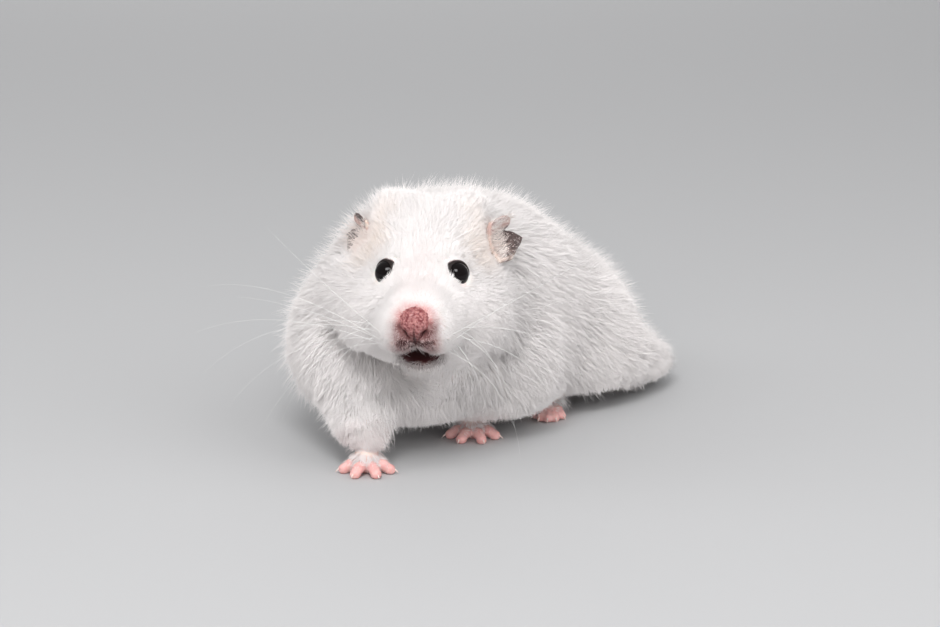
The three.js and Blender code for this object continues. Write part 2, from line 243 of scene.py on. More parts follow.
def vertex_normals(vertices, faces):
    """Normals of a mesh of triangles or quads, at its vertices."""
    a, b, c = (vertices[faces[:, i]] for i in range(3))
    d = vertices[faces[:, -1]]
    across = np.cross(b - a, c - a) if faces.shape[1] == 3 else np.cross(c - a, d - b)
    total = np.zeros_like(vertices)
    for axis in range(3):
        for corner in range(faces.shape[1]):
            total[:, axis] += np.bincount(faces[:, corner], across[:, axis], len(vertices))
    return unit(total)


def smoothed(values, faces, rounds, share=0.5):
    """Values at vertices, each moved by a share towards the mean of its neighbours. share may vary."""
    edges = np.concatenate([faces[:, [i, (i + 1) % faces.shape[1]]] for i in range(faces.shape[1])])
    count = np.bincount(edges[:, 0], minlength=len(values)).reshape(-1, 1)
    values = np.array(values, float).reshape(len(values), -1)
    for _ in range(rounds):
        mean = np.stack([np.bincount(edges[:, 0], values[edges[:, 1], axis], len(values))
                         for axis in range(values.shape[1])], axis=1) / np.maximum(count, 1)
        values = values + share * (mean - values)
    return values


# ---- Materials ----


class Nodes:
    """A material's nodes: each call adds one, with its inputs set to values or linked to outputs."""

    def __init__(self, name, **settings):
        self.material = bpy.data.materials.new(name)
        self.material.use_nodes = True
        self.tree = self.material.node_tree
        self.shader = self.tree.nodes["Principled BSDF"]
        self.fill(self.shader, settings)

    def fill(self, node, settings):
        for socket, value in settings.items():
            socket = node.inputs[int(socket) if socket.isdigit() else socket.replace("_", " ")]
            if isinstance(value, bpy.types.NodeSocket):
                self.tree.links.new(value, socket)
            else:
                socket.default_value = value

    def add(self, kind, output=0, options=(), **settings):
        node = self.tree.nodes.new("ShaderNode" + kind)
        for option, value in dict(options).items():
            setattr(node, option, value)
        self.fill(node, settings)
        return node.outputs[output]

    def mix(self, factor, first, second):
        """A blend of two colours, in the sockets that a colour mix has."""
        first, second = ((*value, 1) if isinstance(value, tuple) else value for value in (first, second))
        settings = {"0": factor, "6": first, "7": second}
        return self.add("Mix", 2, {"data_type": "RGBA"}, **settings)

    def noise(self, size, detail=3.0):
        """Noise with features about size millimetres wide."""
        where = self.add("TexCoord", 3)
        return self.add("TexNoise", Vector=where, Scale=1 / (size * MM), Detail=detail)

    def range(self, value, low, high, to_low=0.0, to_high=1.0):
        return self.add("MapRange", Value=value, From_Min=low, From_Max=high, To_Min=to_low, To_Max=to_high)

    def values(self, name):
        """The three values that the mesh carries under a name."""
        attribute = self.add("Attribute", options={"attribute_name": name})
        return self.add("SeparateColor", Color=attribute).node.outputs

    def bump(self, height, depth):
        """Bumps as deep as depth millimetres."""
        normal = self.add("Bump", Height=height, Distance=depth * MM, Strength=1.0)
        self.fill(self.shader, {"Normal": normal})


# The third coat colour is painted shade for the roots of the tufts.
WHITE, CREAM, ROOT_SHADE = (0.985, 0.940, 0.928), (0.97, 0.92, 0.902), (0.86, 0.80, 0.765)
# The dark colour is the dark skin's own, and it is also laid as painted shade in hollows and under the chin.
WARM, PINK, MAROON_AND_SHADE = (0.95, 0.80, 0.70), (0.60, 0.26, 0.25), (0.05, 0.011, 0.012)
PATCHES = 1.6  # how wide the uneven patches in the markings are, in millimetres


def marked(nodes, base):
    """The base colour with the coat's markings over it: peach, pink and dark. The dark is partly the skin's own colour
    and partly painted shade.
    """
    parts = nodes.values("marks")
    patchy = nodes.range(nodes.noise(PATCHES), 0.3, 0.7, 0.75, 1.25)
    colour = base
    for part, mark in zip(parts, (WARM, PINK, MAROON_AND_SHADE)):
        share = nodes.add("Math", options={"operation": "MULTIPLY", "use_clamp": True}, **{"0": part, "1": patchy})
        colour = nodes.mix(share, colour, mark)
    return colour


def coat_material():
    """White that varies a little from tuft to tuft, darkened towards the roots by painted shade."""
    nodes = Nodes("coat", Roughness=0.62)
    along, chance = nodes.values("strand")[:2]
    tone = nodes.mix(chance, WHITE, CREAM)
    # Painted shade: each tuft darkens towards its root, where hair shades hair.
    tone = nodes.mix(nodes.range(along, 0, 0.5, 0.4, 0), tone, ROOT_SHADE)
    nodes.fill(nodes.shader, {"Base_Color": marked(nodes, tone)})
    nodes.shader.inputs["Sheen Weight"].default_value = 0.15
    nodes.shader.inputs["Sheen Roughness"].default_value = 0.5
    return nodes.material


def flesh_material(name, light, deep, roughness, grain, bump, marks=False, soft=0.25):
    """Bare skin, mottled between two colours, with a grain about so many millimetres wide."""
    nodes = Nodes(name, Roughness=roughness, Subsurface_Weight=soft, Subsurface_Scale=0.6 * MM)
    nodes.shader.inputs["Subsurface Radius"].default_value = (1, 0.35, 0.25)
    mottle = nodes.range(nodes.noise(grain * 4), 0.35, 0.65)
    colour = nodes.mix(mottle, light, deep)
    nodes.fill(nodes.shader, {"Base_Color": marked(nodes, colour) if marks else colour})
    nodes.bump(nodes.noise(grain, 4), bump)
    return nodes.material


def gloss_material(name, colour, tint, roughness, **settings):
    nodes = Nodes(name, Roughness=roughness, **settings)
    nodes.fill(nodes.shader, {"Base_Color": nodes.mix(nodes.noise(2.5), colour, tint)})
    return nodes.material


coat = coat_material()
skin = flesh_material("skin", (0.92, 0.86, 0.83), (0.89, 0.79, 0.76), 0.6, 0.5, 0.05, marks=True)
nose_skin = flesh_material("nose_skin", (0.50, 0.22, 0.21), (0.20, 0.045, 0.05), 0.22, 0.15, 0.05, marks=True)
paw_skin = flesh_material("paw_skin", (0.88, 0.56, 0.52), (0.80, 0.42, 0.40), 0.45, 0.35, 0.05, marks=True)
ear_skin = flesh_material("ear_skin", (0.14, 0.095, 0.09), (0.05, 0.03, 0.027), 0.55, 0.22, 0.06, marks=True,
                          soft=0.1)
lid_skin = flesh_material("lid_skin", (0.016, 0.008, 0.007), (0.008, 0.004, 0.004), 0.55, 0.2, 0.02, soft=0.0)
eye_gloss = gloss_material("eye", (0.003, 0.002, 0.002), (0.006, 0.004, 0.004), 0.02, IOR=1.38,
                           Specular_IOR_Level=0.36)
claw_horn = gloss_material("claw", (0.80, 0.60, 0.55), (0.88, 0.74, 0.68), 0.35)
whisker_white = gloss_material("whisker", (0.93, 0.92, 0.90), (0.86, 0.84, 0.82), 0.35)

# ---- The flesh as a field ----

GRID = 0.75  # millimetres between the field's points
GROW = 0.25  # closes the clearances between the CAD solids
MARGIN = 5  # points between the model and the edge of the grid
MOST_CROSSINGS = 20  # of one column with one node
EYES = [f"eye_{side}" for side in SIDES]
PAWS = [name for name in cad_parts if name.endswith("_paw")]
FLESH = [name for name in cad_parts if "claw" not in name and name not in PAWS]

flesh_low, flesh_high = corners(*FLESH)
grid_low = flesh_low - MARGIN * GRID
grid_size = np.ceil((flesh_high - grid_low) / GRID).astype(int) + MARGIN
axes = [grid_low[axis] + GRID * np.arange(grid_size[axis]) for axis in range(3)]


def filled(name):
    """Which points of the grid are inside a CAD node, found by rays up through each column."""
    vertices, faces = welded(*read_node(name))
    vertices = vertices + GROW * vertex_normals(vertices, faces)
    tree = BVHTree.FromPolygons(vertices.tolist(), faces.tolist())
    low, high = vertices.min(axis=0), vertices.max(axis=0)
    inside = np.zeros(grid_size, bool)
    columns = [np.flatnonzero((axes[a] > low[a]) & (axes[a] < high[a])) for a in range(2)]
    for i in columns[0]:
        for j in columns[1]:
            start = Vector((axes[0][i] + 1e-4, axes[1][j] + 1e-4, low[2] - 1))
            crossings = []
            while len(crossings) < MOST_CROSSINGS:
                hit = tree.ray_cast(start, Vector((0, 0, 1)))
                if hit[0] is None:
                    break
                crossings.append(hit[0].z)
                start.z = hit[0].z + 1e-3
            for enter, leave in zip(crossings[::2], crossings[1::2]):
                inside[i, j, (axes[2] > enter) & (axes[2] < leave)] = True
    return inside


def shifted(values, axis, by, fill):
    """values moved along an axis, with the rest filled."""
    moved = np.full_like(values, fill)
    to, out = [slice(None)] * 3, [slice(None)] * 3
    to[axis] = slice(max(by, 0), values.shape[axis] + min(by, 0))
    out[axis] = slice(max(-by, 0), values.shape[axis] - max(by, 0))
    moved[tuple(to)] = values[tuple(out)]
    return moved


def depth_inside(inside, reach=14):
    """How far each point is inside, in millimetres, up to reach grid steps."""
    square = np.where(inside, float(reach * reach), 0.0).astype(np.float32)
    for axis in range(3):
        nearest = square.copy()
        for by in range(1, reach):
            for way in (by, -by):
                nearest = np.minimum(nearest, shifted(square, axis, way, 0) + by * by)
        square = nearest
    return np.sqrt(square) * GRID


def blurred(values, rounds):
    for _ in range(rounds):
        for axis in range(3):
            near = shifted(values, axis, 1, values.min()) + shifted(values, axis, -1, values.min())
            values = 0.5 * values + 0.25 * near
    return values


def surface_of(field, low, step):
    """Quads where a field on a grid is 0: one vertex in each cell that it crosses. Positive is inside."""
    inside = field > 0
    cells = np.array(field.shape) - 1

    def at(bits):
        return tuple(slice(b, b + n) for b, n in zip(bits, cells))

    total, hits = np.zeros((*cells, 3), np.float32), np.zeros(cells, np.float32)
    for axis, bits in itertools.product(range(3), itertools.product((0, 1), repeat=3)):
        if bits[axis]:
            continue
        here, there = (field[at(np.array(bits) + far * (np.arange(3) == axis))] for far in (0, 1))
        crossing = (here > 0) != (there > 0)
        total[..., axis] += np.where(crossing, here / np.where(crossing, here - there, 1), 0)
        for other in range(3):
            total[..., other] += bits[other] * crossing
        hits += crossing
    active = hits > 0
    index = np.full(cells, -1, np.int32)
    index[active] = np.arange(active.sum())
    vertices = low + step * (np.argwhere(active) + total[active] / hits[active][:, None])
    quads = []
    for axis in range(3):
        others = np.eye(3, dtype=int)[[(axis + 1) % 3, (axis + 2) % 3]]
        edges = [slice(1, n) for n in cells]
        edges[axis] = slice(0, cells[axis])
        here = inside[tuple(edges)]
        edges[axis] = slice(1, cells[axis] + 1)
        there = inside[tuple(edges)]
        for way, wanted in ((1, here & ~there), (-1, there & ~here)):
            place = np.argwhere(wanted)
            ring = [index[tuple((place + corner @ others).T)] for corner in np.array([(1, 1), (0, 1), (0, 0), (1, 0)])]
            quads.append(np.stack(ring, axis=1)[:, ::way])
    return vertices, np.concatenate(quads)


solid = np.zeros(grid_size, bool)
for flesh_node in FLESH:
    solid |= filled(flesh_node)
depth = depth_inside(solid)

# ---- How deep the skin lies under the coat ----

COAT = {"nose": 0.35, "lid": 0.9, "face": 1.7, "crown": 3.4, "throat": 4.4, "trunk": 5.6, "wrist": 1.9, "belly": 4.0,
        "skirt": 7.8}
hip = corners("hind_right_paw")[1][1]  # how far back the hind paws reach


def eye_gap(points):
    """How far it is to the nearer eye's middle."""
    return np.min([distance(points, eye) for eye in eyes.values()], axis=0)


def coat_depth(points):
    """The coat's depth at points, in millimetres."""
    y, z = points[..., 1], points[..., 2]
    _, back, up = np.moveaxis(in_head(points), -1, 0)
    from_nose = distance(points, nose_middle)
    face = blend(COAT["nose"], COAT["face"], ramp(from_nose, 4.5, 12))
    face = blend(face, COAT["crown"], ramp(from_nose, 14, 34))
    face = blend(COAT["lid"], face, ramp(eye_gap(points), 3.5, 9))
    trunk = blend(COAT["belly"], COAT["trunk"], ramp(z, 8, 20))
    trunk = blend(trunk, COAT["skirt"], ramp(y, hip, hip + 14) * ramp(z, 22, 14))
    body = blend(face, trunk, ramp(back - 0.25 * up, 16, 30))
    body = blend(body, COAT["throat"], ramp(up, -16, -26) * ramp(back, 24, 12))
    return blend(COAT["wrist"], body, np.maximum(ramp(z, 6, 15), ramp(y, hip, hip + 8)))


points = np.stack(np.meshgrid(*axes, indexing="ij"), axis=-1)
outer_vertices, outer_faces = surface_of(blurred(depth - 0.5 * GRID, 2), grid_low, GRID)
outer_vertices = smoothed(outer_vertices, outer_faces, 12)
outer_tree = BVHTree.FromPolygons(outer_vertices.tolist(), outer_faces.tolist())

local = in_head(points)
# Room behind the nostrils: a hollow inside the nose's pad.
HOLLOW_SIZE = (2.75, 2.6, 3.0)  # its half width, depth and height
from_hollow = (local - in_head(nose_middle - 0.9 * BACK)) / HOLLOW_SIZE
nose_pit = 2.6 * (1 - np.linalg.norm(from_hollow, axis=-1))
# The mouth, from the front: an opening that comes to a point up the middle of the upper lip.
LIP_PEAK, LIP_BOTTOM, MOUTH_END = -13.2, -18.2, -10.5  # heights, and how far back it goes
gape = 4.0 * np.clip((LIP_PEAK - local[..., 2]) / 4.2, 0, 1) ** 0.8 - np.abs(local[..., 0])
mouth_pit = np.min([gape, local[..., 2] - LIP_BOTTOM, MOUTH_END - local[..., 1]], axis=0)
core_field = blurred(np.min([depth - coat_depth(points), -mouth_pit], axis=0), 2)
core_field = np.minimum(core_field, -nose_pit)
core_vertices, core_faces = surface_of(core_field, grid_low, GRID)
core_vertices = smoothed(core_vertices, core_faces, 10)

# ---- Markings and painted shade ----

BESIDE_EAR = {side: (from_head(12.2 * sign, 7, 13.5), from_head(12.2 * sign, 5.5, 3))
              for side, sign in SIDES.items()}
FORE_PAWS = ("fore_left_paw", "fore_right_paw")


def chin_at(aside, back, height):
    """1 on the chin and 0 off it, from places in the head's frame."""
    return ramp(aside, 6.5, 4) * ramp(height, -16, -17) * ramp(height, -24, -22) * ramp(back, 0, -3)


def marks_at(points):
    """How peach, pink and dark the coat and the skin are at points, from 0 to 1. Some of the dark and pink is painted
    shade: beneath the nose, on the chin and low on the forelegs.
    """
    across, back, height = in_head(points).T
    aside = np.abs(across)
    warm, near_ear = np.zeros(len(points)), np.zeros(len(points))
    for start, end in ears.values():
        near_ear = np.maximum(near_ear, 1 - ramp(near_line(points, start, blend(start, end, 0.6))[0], 2, 6.5))
        warm = np.maximum(warm, 0.5 * near_ear)
    for start, end in BESIDE_EAR.values():
        warm = np.maximum(warm, 0.6 * (1 - ramp(near_line(points, start, end)[0], 1, 8)))
    ahead = ramp(back, -9, -12)
    beside = ramp(aside, 0.6, 1.8) * ramp(aside, 6.6, 3.2) * ramp(height, -6, -8.5) * ramp(height, -15.5, -13)
    # Beneath the nose, down to the mouth, the dark is partly the skin's own colour and partly painted shade under the
    # nose.
    between = ramp(aside, 5.4, 3.6) * ramp(height, -10.5, -12) * ramp(height, -18.5, -17)
    brow = ramp(aside, 6.5, 2) * ramp(height, 7, 1) * ramp(back, 0, -4)
    round_nose = 1 - ramp(distance(points, nose_middle), 3.7, 6.4)
    pink = np.max([0.85 * round_nose, 0.14 * near_ear, 0.95 * beside * ahead, 0.14 * brow], axis=0)
    # Low on the forelegs the coat is tinted pink, which also darkens it there as painted shade.
    for paw in FORE_PAWS:
        gap = distance(points[:, :2], middle(paw)[:2])
        pink = np.maximum(pink, 0.3 * ramp(gap, 11, 6) * ramp(points[:, 2], 17, 6))
    dark = np.max([0.75 * beside, between], axis=0) * ahead
    # Painted shade on the chin, strongest just under the lower lip.
    dark = np.maximum(dark, chin_at(aside, back, height) * blend(0.1, 1, ramp(height, -21.8, -20.4)))
    return np.stack([warm, pink, dark], axis=1)


# ---- Details of the skin ----

DARK_ONLY = (0, 0, 1)  # marks that are neither peach nor pink


def grid_of_quads(rows, columns):
    """The numbers of a grid's points, and the quads between them."""
    number = np.arange(rows * columns).reshape(rows, columns)
    quads = np.stack([number[:-1, :-1], number[1:, :-1], number[1:, 1:], number[:-1, 1:]], axis=-1)
    return number, quads.reshape(-1, 4)


def ball(count):
    """A sphere of radius 1 from six grids of quads."""
    turns = np.tan(np.linspace(-math.pi / 4, math.pi / 4, count + 1))
    u, v = np.meshgrid(turns, turns, indexing="ij")
    quads = grid_of_quads(count + 1, count + 1)[1]
    vertices, faces = [], []
    for axis in range(3):
        for way in (1, -1):
            side = np.roll(np.stack([np.full(u.size, float(way)), u.ravel(), v.ravel()], axis=1), axis, axis=1)
            faces.append(quads[:, ::way] + len(vertices) * u.size)
            vertices.append(side)
    return welded(unit(np.concatenate(vertices)), np.concatenate(faces))


def triangles_of(faces):
    """Quads as triangles."""
    return np.concatenate([faces[:, :3], faces[:, [0, 2, 3]]])


def ring_faces(rings, sides, closed=True):
    """Quads between rings of points. A closed one goes from the last ring back to the first."""
    number = np.arange(rings * sides).reshape(rings, sides)
    following = np.roll(number, -1, axis=0) if closed else number[1:]
    first = number if closed else number[:-1]
    return np.stack([first, np.roll(first, -1, axis=1), np.roll(following, -1, axis=1), following],
                    axis=-1).reshape(-1, 4)


def pebbled(vertices, faces, spacing, height, seed):
    """Vertices raised into rounded pebbles along their normals."""
    draw = np.random.default_rng(seed)
    area = np.prod(np.sort(np.ptp(vertices, axis=0))[1:])
    count = int(3 * area / spacing ** 2)
    tree = search_tree(vertices[draw.choice(len(vertices), min(count, len(vertices)), replace=False)])
    dome = np.empty(len(vertices))
    for number, place in enumerate(vertices):
        near = tree.find_n(Vector(place), 2)
        dome[number] = (near[1][2] - near[0][2]) / spacing
    return vertices + vertex_normals(vertices, faces) * (height * np.clip(dome * 1.6, 0, 1) ** 0.6)[:, None]


def nose_shell():
    """The nose's pad: pebbled, with two comma-shaped nostrils and a groove down its middle."""
    vertices, faces = ball(38)
    x, y, z = vertices.T
    vertices = np.stack([3.3 * x * (1 + 0.16 * z), 2.95 * y, 3.8 * z], axis=1)
    vertices = pebbled(vertices, faces, 0.62, 0.25, 21)
    x, y, z = vertices.T
    front = ramp(y, 0.8, -0.6)
    groove = np.exp(-(x / 0.26) ** 2) * ramp(z, 0.8, -1.4)
    depth = 0.45 * groove
    for sign in SIDES.values():
        nostril = np.hypot((sign * x - 2.3) / 0.85, (z + 2.2 - 0.35 * (sign * x - 2.3)) / 1.15)
        depth = depth + 1.4 * np.exp(-1.3 * nostril ** 2)
    vertices = vertices + np.outer(depth * front, (0, 0.85, 0.1))
    # The nostrils and the groove are darkened as painted shade in their hollows, and the pad is darker towards its
    # bottom.
    dark = np.clip(depth * front * 1.1 + 0.55 * ramp(z, 0, -3), 0, 1)
    return nose_middle + vertices @ head_axes, faces, np.outer(dark, DARK_ONLY)


# The profile of an eyelid: degrees from the middle of the eye's opening, and distance from its centre.
LID = [(67, 2.99), (69, 3.14), (72, 3.28), (75, 3.34), (90, 3.62), (108, 4.2), (116, 3.6), (100, 2.9), (80, 2.86)]
LID_DARK = [1, 1, 1, 1, 0.12, 0, 0, 0, 0]  # how dark the skin is at each of these: the lid's own dark rim, then a faint painted shade on the collar beyond it
LID_CORNER = [0.5, 0.5, 0.9, 1.9, 0.8, 0, 0, 0, 0]  # how far each goes into the eye's two corners
EYE_OUTWARD = 45  # degrees that an eye faces from straight ahead


def eye_axes(side):
    """An eye's own axes: outward, forward round the head, and up."""
    turn = math.radians(EYE_OUTWARD)
    outward = unit(math.sin(turn) * SIDES[side] * LEFT - math.cos(turn) * BACK + 0.06 * UP)
    forward = unit(-math.cos(turn) * SIDES[side] * LEFT - math.sin(turn) * BACK)
    return outward, forward, np.cross(forward, outward) * SIDES[side]


def lid_shell(side, steps=64):
    """A collar from the skin to the eye, whose opening comes to a blunt corner at the front and the back."""
    outward, forward, up = eye_axes(side)
    turns = np.linspace(0, 2 * math.pi, steps, endpoint=False)
    corner = 8 * np.exp(-((turns - 0.95) / 0.36) ** 2) + 6 * np.exp(-((turns - 4.1) / 0.35) ** 2)
    rings = []
    for (angle, reach), into in zip(LID, LID_CORNER):
        tilt = np.radians(angle + into * corner - 4 * np.cos(2 * turns) - 4 * np.exp(-(turns / 0.5) ** 2)
                          + 4 * np.exp(-((turns - 5.1) / 0.7) ** 2))[:, None]
        round_eye = np.cos(turns)[:, None] * forward + np.sin(turns)[:, None] * up
        rings.append(eyes[side] + reach / 3 * eye_radius * (np.cos(tilt) * outward + np.sin(tilt) * round_eye))
    faces = ring_faces(len(LID), steps)
    rim = np.isin(np.arange(len(faces)) // steps, (0, 1, 2, 7, 8))
    return np.concatenate(rings), faces[rim], faces[~rim], np.outer(np.repeat(LID_DARK, steps), DARK_ONLY)


def main_axes(points):
    """The middle of some points and their axes, the longest first."""
    centre = points.mean(axis=0)
    return centre, np.linalg.svd(points - centre, full_matrices=False)[2]


EAR_EDGE = 0.45  # thickness of an ear at its edge, in millimetres
# How far an ear reaches at heights from its lower edge, -1, to its upper edge, 1: a notch parts two lobes.
EAR_OUTLINE = [(-1, 0.42), (-0.85, 0.7), (-0.7, 0.9), (-0.55, 1.0), (-0.4, 0.95), (-0.2, 0.84), (0, 0.72),
               (0.15, 0.62), (0.35, 0.64), (0.65, 0.66), (0.86, 0.56), (1, 0.36)]


def ear_shell(side, rows=30, columns=40):
    """A crumpled flap with an upper and a longer lower lobe, folded in between them."""
    sign = SIDES[side]
    points, faces = read_node(f"ear_{side}")
    centre, (along, across, flat) = main_axes(points)
    along *= np.sign(along @ (BACK + 0.5 * UP))
    flat *= np.sign(flat @ (sign * LEFT - 0.6 * BACK))
    across = np.cross(flat, along)
    across *= np.sign(across @ UP)
    reach = [np.ptp((points - centre) @ axis) for axis in (along, across)]
    low = np.min((points - centre) @ along)

    t, s = np.meshgrid(np.linspace(0, 1, rows), np.linspace(-1, 1, columns), indexing="ij")
    edge_reach = np.interp(s, *zip(*EAR_OUTLINE))
    length = low + reach[0] * t * edge_reach
    rise = reach[1] / 2 * (0.96 * s + 0.1 * s * t - 0.1 * t)
    dent = np.exp(-((s - 0.14) / 0.17) ** 2) * ramp(t, 0.35, 0.95)
    fold = 1.5 * s ** 2 - 0.9 + 0.9 * ramp(-s, 0.45, 1) * np.sin(math.pi * t)
    height = fold + 0.2 * np.sin(7 * t + 3 * s) * t - 1.5 * dent - 0.8 * ramp(t, 0.5, 1) * ramp(s, 0.1, -0.4)
    surface = centre + length[..., None] * along + rise[..., None] * across + height[..., None] * flat
    normals = unit(np.cross(np.gradient(surface, axis=1), np.gradient(surface, axis=0)))
    normals *= np.sign(normals @ flat)[..., None]
    edge = np.minimum(1, 4 * np.minimum(1 - np.abs(s), 1 - t))
    half = (EAR_EDGE / 2 * (0.35 + 0.65 * edge) + 0.25 * (1 - t) ** 2)[..., None]
    sheets = [(surface + half * normals).reshape(-1, 3), (surface - half * normals).reshape(-1, 3)]
    number, quads = grid_of_quads(rows, columns)
    rim = np.concatenate([number[0, :-1], number[:-1, -1], number[-1, :0:-1], number[:0:-1, 0]])
    after = np.roll(rim, -1)
    other = rows * columns
    wall = np.stack([rim, after, after + other, rim + other], axis=1)
    faces = np.concatenate([quads, quads[:, ::-1] + other, wall])
    if np.cross(surface[1, 0] - surface[0, 0], surface[0, 1] - surface[0, 0]) @ normals[0, 0] < 0:
        faces = faces[:, ::-1]
    # Its root is pale, with a ragged edge. The left ear's upper lobe is pale too, and only a band of the right's.
    root = ramp(t + 0.1 * np.sin(23 * s + 4 * t) + 0.08 * np.sin(41 * s - 5 * t), 0.46, 0.1)
    upper = ramp(s, 0.3, 0.5)
    if side == "right":
        root, upper = root * 0.55, upper * ramp(s, 0.8, 0.6)
    lower_edge = 0.5 * ramp(-s, 0.75, 0.98) * ramp(t, 0.3, 0.6)
    pink = np.maximum(0.15 * root, 0.45 * upper)
    warm = np.max([0.6 * root, 0.85 * ramp(t, 0.16, 0.04), lower_edge, 0.55 * upper], axis=0)
    # The dent between the lobes is darkened: painted shade in the fold.
    dark = 0.6 * dent
    marks = np.stack([np.tile(value.ravel(), 2) for value in (warm, pink, dark)], axis=1)
    return np.concatenate(sheets), faces, marks, (centre + low * along, centre + (low + reach[0]) * along)


PAW_GRID = 0.31
LEG_HEIGHTS = (7, 8.5, 10)  # where the leg's middle is looked for, above the floor


def capsule(points, start, end, start_radius, end_radius):
    """The distance inside a round bar that changes radius evenly."""
    away, share = near_line(points, start, end)
    return blend(start_radius, end_radius, share) - away


def melted(a, b, soft):
    """Two fields joined, rounded off within soft millimetres."""
    share = np.maximum(soft - np.abs(a - b), 0) / soft
    return np.maximum(a, b) + share * share * soft / 4


def claws_of(paw):
    """Each claw's root and tip, from the CAD."""
    low, high = corners(paw)
    names = [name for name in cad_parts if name.startswith(paw.replace("_paw", "_claw_"))]
    ankle = (low + high) / 2
    found = []
    for name in sorted(names):
        points = read_node(name)[0]
        away = distance(points[:, :2], ankle[:2])
        found.append((name, points[away < away.min() + 0.35].mean(axis=0), points[away.argmax()]))
    return found


def paw_shell(paw):
    """A paw that grows out of the leg: wrist, palm and toes, each toe with a knuckle and a pad."""
    points = read_node(paw)[0]
    ankle = points[points[:, 2] > points[:, 2].max() - 0.3].mean(axis=0)
    leg = ankle
    for height in LEG_HEIGHTS:
        away = distance(core_vertices[:, :2], leg[:2])
        near = (away < 5.5) & (np.abs(core_vertices[:, 2] - height) < 1)
        leg = core_vertices[near].mean(axis=0) if near.any() else leg * (1, 1, 0) + height * UP
    claws = claws_of(paw)
    fore = "fore" in paw
    plump = 1.42 if fore else 1.2
    ahead = unit((np.mean([root for _, root, _ in claws], axis=0) - ankle) * (1, 1, 0))
    low = np.min([points.min(axis=0), ankle - 4, leg - 4], axis=0) - 1
    high = np.max([points.max(axis=0), ankle + 4, leg + (4, 4, 1)], axis=0) + 1
    low[2] = -1.0
    size = np.ceil((high - low) / PAW_GRID).astype(int)
    grid = np.stack(np.meshgrid(*[low[a] + PAW_GRID * np.arange(size[a]) for a in range(3)], indexing="ij"), axis=-1)
    floor_point = ankle * (1, 1, 0)
    field = capsule(grid, floor_point + 3.4 * UP, leg, 2.3 if fore else 2.1, 1.9)
    palm = capsule(grid, floor_point - 0.4 * ahead + 2.3 * UP, floor_point + 1.2 * ahead + 1.7 * UP, 2.9, 2.2)
    field = melted(field, palm, 1.6)
    for _, root, _ in claws:
        way = unit((root - floor_point) * (1, 1, 0))
        reach = np.linalg.norm((root - floor_point)[:2]) + 0.15
        base = floor_point + 0.28 * reach * way + 1.9 * UP
        knuckle = floor_point + 0.66 * reach * way + 1.75 * UP
        end = floor_point + (reach - 0.45) * way + 1.02 * UP
        toe = melted(capsule(grid, base, knuckle, plump, plump * 0.92),
                     capsule(grid, knuckle, end, plump * 0.88, plump * 0.8), 0.5)
        toe = melted(toe, capsule(grid, end - 0.2 * way - 0.15 * UP, end - 0.1 * UP, plump * 0.85, plump * 0.8), 0.5)
        field = melted(field, toe, 0.75)
    field = np.minimum(field, grid[..., 2] - 0.02)
    vertices, faces = surface_of(field, low, PAW_GRID)
    vertices = smoothed(vertices, faces, 3, 0.4)
    creases = 0.05 * waves(vertices * (1, 1, 2.2), 1.1, 31)
    vertices += vertex_normals(vertices, faces) * (creases * ramp(vertices[:, 2], 0.4, 1.5))[:, None]
    vertices[:, 2] = np.maximum(vertices[:, 2], 0)
    high_up = ramp(vertices[:, 2], 2.6, 4.6)
    pale = np.stack([0.7 * high_up, 0.25 * (1 - high_up), 0 * high_up], axis=1)
    return vertices, faces, pale


def tube(path, radius, across, above, sides, flat=1.0):
    """Rings of points round a path, flat times as wide across as above. across and above may vary along it."""
    turns = np.linspace(0, 2 * math.pi, sides, endpoint=False)[:, None]
    return np.concatenate([place + reach * (flat * np.cos(turns) * a + np.sin(turns) * b)
                           for place, reach, a, b in zip(path, radius, across, above)])


def tube_faces(rings, sides):
    """Faces of a closed tube: quads round it and one many-sided face on each end."""
    walls = ring_faces(rings, sides, closed=False)
    caps = np.array([np.arange(sides)[::-1], np.arange(sides) + (rings - 1) * sides])
    return [walls, caps]


def tail_shell(rings=18, sides=20):
    """The short bare tail, from inside the rump to its blunt tip."""
    low, high = corners("tail")
    tip = tail_middle + (high - low) * (0, 0.2, 0)
    start = tip - (tip - head_origin) * (1, 1, 0) * 0.22 + 5 * UP
    t = np.linspace(0, 1, rings)[:, None]
    centre = start + (tip - start) * t - UP * 2.5 * t * (1 - t)
    way = unit(tip - start)
    across = unit(np.cross(way, UP))
    radius = blend(3.4, 1.3, t ** 0.7) * np.sqrt(1 - 0.98 * t ** 8) + 0.06 * np.sin(26 * t)
    made = tube(centre, radius, [across] * rings, [np.cross(across, way)] * rings, sides)
    walls, caps = tube_faces(rings, sides)
    fans = np.concatenate([[[cap[0], cap[i], cap[i + 1]] for i in range(1, sides - 1)] for cap in caps])
    return made, np.concatenate([triangles_of(walls), fans])


def facing_out(vertices, faces):
    """The same faces, turned so that the closed mesh has a positive volume."""
    volume = sum(np.sum(vertices[group[:, 0]] * np.cross(vertices[group[:, i]], vertices[group[:, i + 1]]))
                 for group in faces for i in range(1, group.shape[1] - 1))
    return faces if volume > 0 else [group[:, ::-1] for group in faces]


